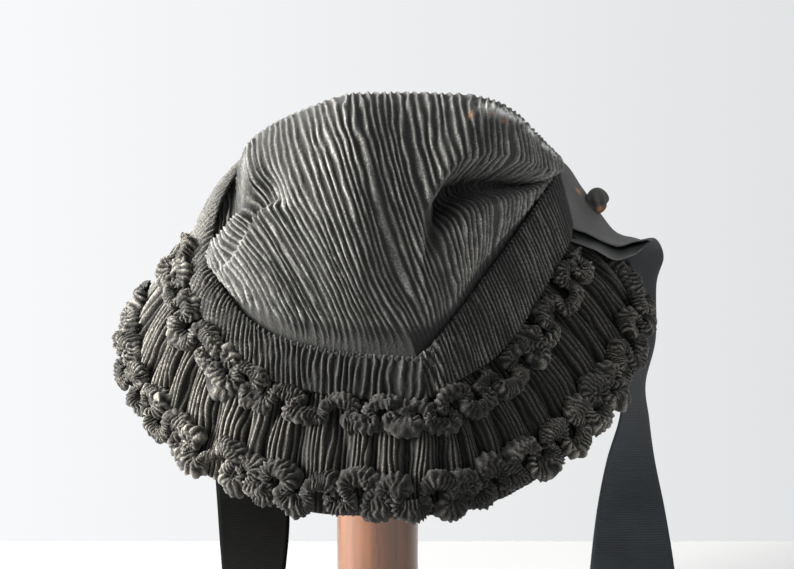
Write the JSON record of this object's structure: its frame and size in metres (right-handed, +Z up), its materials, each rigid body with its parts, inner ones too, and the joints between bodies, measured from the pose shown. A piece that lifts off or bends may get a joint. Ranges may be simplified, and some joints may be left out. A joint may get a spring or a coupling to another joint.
{
  "type": "poke bonnet on a stand",
  "caption": "Black pleated crape poke bonnet with a soft dented crown, banded seam, ruched neck curtain and ribbon ties, on a plain turned wooden stand.",
  "frame": {"origin": "centre of the stand's underside, on the surface it stands on", "axes": "+Z up along the post; +Y the way the wearer would face, so the crown and the neck curtain face -Y; +X the wearer's right"},
  "size_m": [0.2674, 0.238, 0.2964],
  "materials": {
    "crape": "matt pleated silk crape, faded black",
    "ribbon": "fine ribbed silk ribbon, dull black",
    "wood": "smooth satin brown wood"
  },
  "bodies": {
    "root": {"crown": "crape", "band_left": "crape", "band_right": "crape", "curtain": "crape", "ruche_crown": "crape", "ruche_hem": "crape", "brim": "crape", "ribbon_band": "ribbon", "tie_right": "ribbon", "tie_left": "ribbon", "ribbon_knot": "ribbon", "stand_base": "wood", "stand_post": "wood", "stand_head": "wood"}
  },
  "joints": []
}
